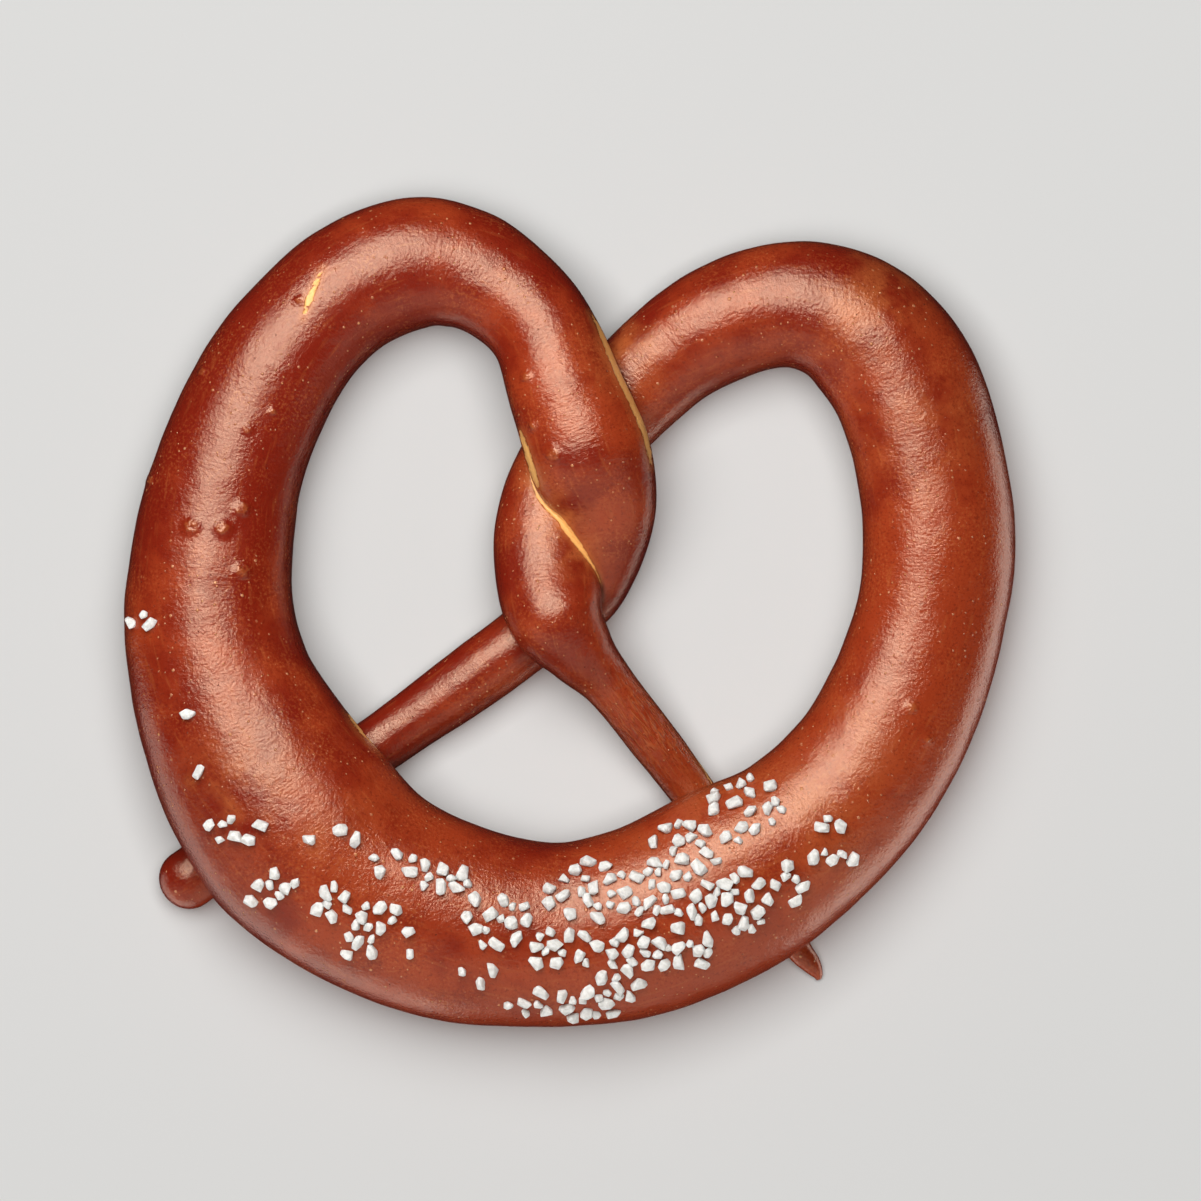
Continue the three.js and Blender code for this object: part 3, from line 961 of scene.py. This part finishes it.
def crust_relief(graph, place, masks):
    """The fine relief, as the surface's normals."""
    wrinkles = graph.noise(place, WRINKLE_SIZE, 3, 0.6)
    ring_rise = graph.total(graph.times(graph.attribute("leathery"), LEATHERY_RING_RISE), RING_RISE)
    relief = graph.total(
        graph.times(graph.noise(place, SWELL_SIZE, 2, 0.5), SWELL_RISE),
        graph.times(wrinkles, WRINKLE_RISE),
        graph.times(rope_noise(graph, RING_SIZES, 2), ring_rise),
        graph.times(masks["threads"], THREAD_RISE),
        graph.times(masks["blister"], CRUMPLE_RISE),
        graph.times(masks["pits"], -PIT_DEPTH),
        graph.times(masks["specks"], SPECK_RISE),
        graph.band(masks["gap"], 0.2, -0.2, 0.0, -SPLIT_DEPTH),
        graph.times(wrinkles, graph.times(masks["under"], BASE_RISE)))
    bump = graph.node("ShaderNodeBump", {"Height": relief, "Distance": MM, "Strength": 1.0})
    return bump.outputs[0]


def crust_material():
    """Glossy lye-baked crust over the lighter dough of its splits."""
    graph = Graph("crust")
    place = graph.place()
    masks = crust_masks(graph, place)
    inputs = graph.shader.inputs
    graph.put(inputs["Base Color"], crust_colour(graph, place, masks))
    gloss = graph.total(graph.times(masks["cloudy"], 0.12), 0.16, graph.times(masks["split"], 0.22))
    gloss = graph.math("ADD", gloss, graph.times(masks["under"], 0.35), True)
    graph.put(inputs["Roughness"], gloss)
    inputs["IOR"].default_value = 1.55
    inputs["Specular IOR Level"].default_value = 0.9
    inputs["Specular Tint"].default_value = SPECULAR_TINT
    graph.put(inputs["Normal"], crust_relief(graph, place, masks))
    return graph.material


def salt_material():
    """Matte white grains with slightly uneven sides."""
    graph = Graph("salt")
    place = graph.place()
    inputs = graph.shader.inputs
    cloud = graph.noise(place, GRAIN_CLOUD_SIZE, 3, 0.6)
    colour = graph.blend(graph.band(cloud, 0.3, 0.7), SALT_SHADE, SALT_WHITE)
    graph.put(inputs["Base Color"], colour)
    graph.put(inputs["Roughness"], graph.band(cloud, 0.3, 0.7, 0.5, 0.75))
    inputs["Subsurface Weight"].default_value = 0.6
    inputs["Subsurface Radius"].default_value = SALT_SCATTER
    inputs["Subsurface Scale"].default_value = MM
    grit = graph.noise(place, GRAIN_GRIT_SIZE, 3, 0.6)
    bump = graph.node("ShaderNodeBump", {"Height": grit, "Distance": GRAIN_GRIT_HEIGHT * MM})
    graph.put(inputs["Normal"], bump.outputs[0])
    return graph.material


def floor_material():
    """Plain pale grey with the faintest clouds."""
    graph = Graph("floor")
    shade = graph.band(graph.noise(graph.place(), FLOOR_CLOUD_SIZE, 1), 0.3, 0.7, 0.0, 0.3)
    graph.put(graph.shader.inputs["Base Color"], graph.blend(shade, FLOOR_GREY, FLOOR_SHADE))
    graph.shader.inputs["Roughness"].default_value = 0.9
    return graph.material


def build_floor():
    """The plain floor under the pretzel."""
    signs = ((-1, -1), (1, -1), (1, 1), (-1, 1))
    mesh = bpy.data.meshes.new("floor")
    mesh.from_pydata([(x * FLOOR_HALF, y * FLOOR_HALF, 0) for x, y in signs], [], [(0, 1, 2, 3)])
    floor = shown("floor", mesh)
    floor.data.materials.append(floor_material())
    return floor


def linked(name, pieces):
    """A collection of pieces for a light to reach, or to be stopped by."""
    group = bpy.data.collections.new(name)
    for piece in pieces:
        group.objects.link(piece)
    return group


def soft_light(row, lit, shading):
    """A soft light that faces the pretzel, reaches the lit pieces, and is stopped by the shading ones."""
    name, place, size, power, shines = row
    light = bpy.data.lights.new(name, "AREA")
    light.shape = "RECTANGLE"
    light.size = size[0] * MM
    light.size_y = size[1] * MM
    light.energy = power
    lamp = bpy.data.objects.new(name, light)
    bpy.context.scene.collection.objects.link(lamp)
    lamp.location = Vector(place) * MM
    lamp.rotation_euler = Vector(place).to_track_quat("Z", "Y").to_euler()
    lamp.visible_glossy = shines
    lamp.light_linking.receiver_collection = linked(name + "_lit", lit)
    lamp.light_linking.blocker_collection = linked(name + "_shading", shading)


def light_scene(food, floor):
    """The photograph's near softbox, panels for its bright lower side, and a wash on the floor.

    The crust's lower side is bright in the photograph. A soft light in front of it and two weak low
    panels make that here, and the floor isn't mirrored.
    """
    for row in FOOD_LIGHTS:
        soft_light(row, food, food)
    soft_light(FLOOR_LIGHT, [floor], food)
    floor.visible_glossy = False
    floor.visible_diffuse = False
    world = bpy.data.worlds.new("studio")
    world.use_nodes = True
    background = world.node_tree.nodes["Background"]
    background.inputs["Color"].default_value = WORLD_COLOUR
    background.inputs["Strength"].default_value = WORLD_STRENGTH
    bpy.context.scene.world = world
    bpy.context.scene.view_settings.view_transform = "Standard"


def place_camera(shift):
    """The camera, straight above, with the photograph's frame."""
    camera = bpy.data.cameras.new("camera")
    camera.sensor_width = SENSOR
    camera.lens = SENSOR * CAMERA_DISTANCE / FRAME_ACROSS
    eye = bpy.data.objects.new("camera", camera)
    bpy.context.scene.collection.objects.link(eye)
    middle = Vector((*FRAME_MIDDLE, FRAME_LEVEL + CAMERA_DISTANCE)) + Vector(shift)
    eye.location = middle * MM
    bpy.context.scene.camera = eye


crust, shift = build_crust()
salt = build_salt(shift)
crust.data.materials.clear()
crust.data.materials.append(crust_material())
salt.data.materials.append(salt_material())
for piece, slot in ((crust, "crust"), (salt, "salt")):
    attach(piece, "root")
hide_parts("pretzel")

light_scene([crust, salt], build_floor())
place_camera(shift)
